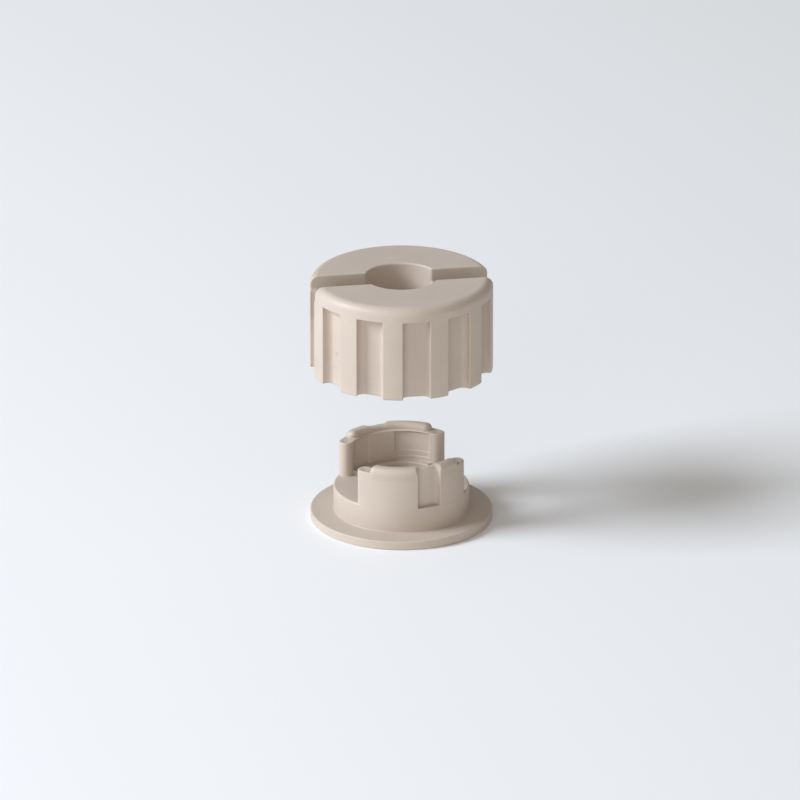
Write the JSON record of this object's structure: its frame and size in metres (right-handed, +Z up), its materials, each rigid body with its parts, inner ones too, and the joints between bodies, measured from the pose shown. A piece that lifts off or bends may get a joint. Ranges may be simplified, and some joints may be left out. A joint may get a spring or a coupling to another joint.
{
  "type": "desk grommet",
  "caption": "Round two-piece desk cable grommet: flanged base with two curved walls, and a fluted lift-off cap with a bore and a cable slot.",
  "frame": {"origin": "centre of the flange's underside, on the surface that the grommet stands on", "axes": "+Z up the common axis of the base and the cap, X along the cap's cable slot"},
  "size_m": [0.08, 0.08, 0.1129],
  "materials": {
    "base_plastic": "satin",
    "cap_plastic": "satin"
  },
  "bodies": {
    "base": {"base": "base_plastic"},
    "cap": {"cap": "cap_plastic"}
  },
  "joints": [
    {"name": "cap_lift", "type": "slide", "parent": "base", "child": "cap", "axis": [0, 0, 1], "range_m": [-0.066, 0]}
  ]
}
